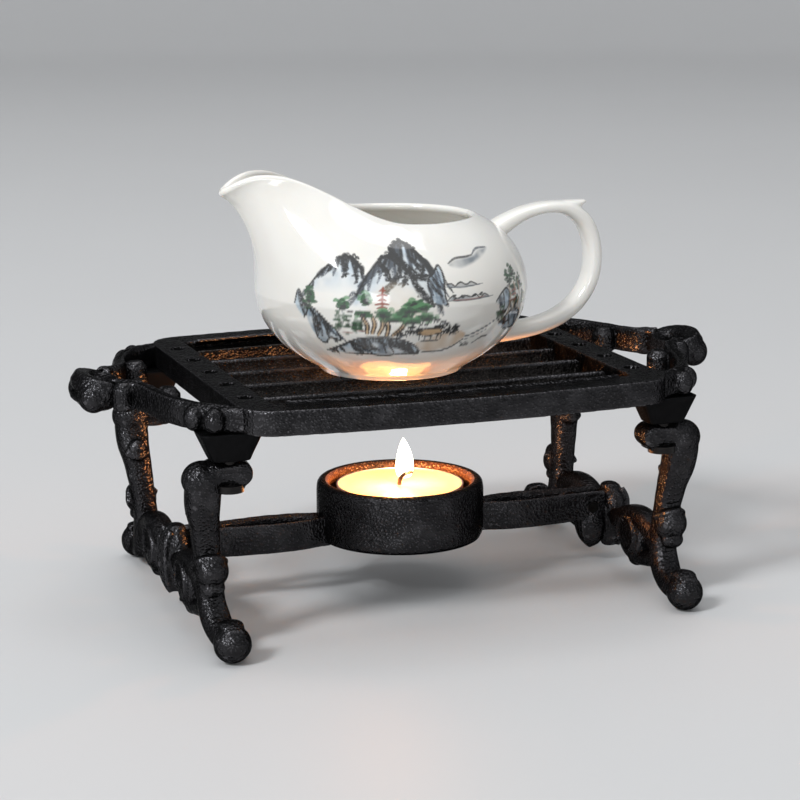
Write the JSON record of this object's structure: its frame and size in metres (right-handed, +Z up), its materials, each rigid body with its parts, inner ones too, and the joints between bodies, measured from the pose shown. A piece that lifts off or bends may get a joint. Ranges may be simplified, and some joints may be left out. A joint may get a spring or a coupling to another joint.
{
  "type": "tea warmer with pitcher",
  "caption": "Cast iron tea warming stand with a slatted grate, scrolled handles and legs and a tealight cup, carrying a glazed porcelain pitcher with a spout and a loop handle.",
  "frame": {"origin": "on the surface the stand rests on, under the middle of the grate", "axes": "+X from the left handle to the right handle, the pitcher's own handle being at +X; +Y from the front to the back; +Z up"},
  "size_m": [0.194, 0.1206, 0.1245],
  "materials": {
    "cast_iron": "satin black, sand cast texture",
    "block_iron": "plain dark grey, smoother than the castings",
    "screws": "blackened",
    "foil": "thin drawn metal",
    "wax": "soft translucent wax",
    "wick": "charred cotton",
    "porcelain": "glossy white glaze"
  },
  "bodies": {
    "stand": {"grate_frame": "cast_iron", "grate_bar_1": "cast_iron", "grate_bar_2": "cast_iron", "grate_bar_3": "cast_iron", "grate_bar_4": "cast_iron", "handle_arm_front_left": "cast_iron", "handle_arm_back_left": "cast_iron", "handle_arm_front_right": "cast_iron", "handle_arm_back_right": "cast_iron", "handle_shell_left": "cast_iron", "handle_shell_right": "cast_iron", "corner_block_front_left": "block_iron", "corner_block_back_left": "block_iron", "corner_block_front_right": "block_iron", "corner_block_back_right": "block_iron", "leg_front_left": "cast_iron", "leg_back_left": "cast_iron", "leg_front_right": "cast_iron", "leg_back_right": "cast_iron", "leg_screws": "screws", "stretcher_left": "cast_iron", "stretcher_right": "cast_iron", "candle_arm_left": "cast_iron", "candle_arm_right": "cast_iron", "arm_pins": "screws", "candle_cup": "cast_iron"},
    "tealight": {"tealight_cup": "foil", "tealight_wax": "wax", "wick": "wick", "wick_tab": "foil"},
    "pitcher": {"pitcher_body": "porcelain", "pitcher_handle": "porcelain"}
  },
  "joints": [
    {"name": "tealight_lift", "type": "slide", "parent": "stand", "child": "tealight", "axis": [0, 0, 1], "range_m": [0, 0.0155]},
    {"name": "pitcher_lift", "type": "slide", "parent": "stand", "child": "pitcher", "axis": [0, 0, 1], "range_m": [0, 0.06]}
  ]
}
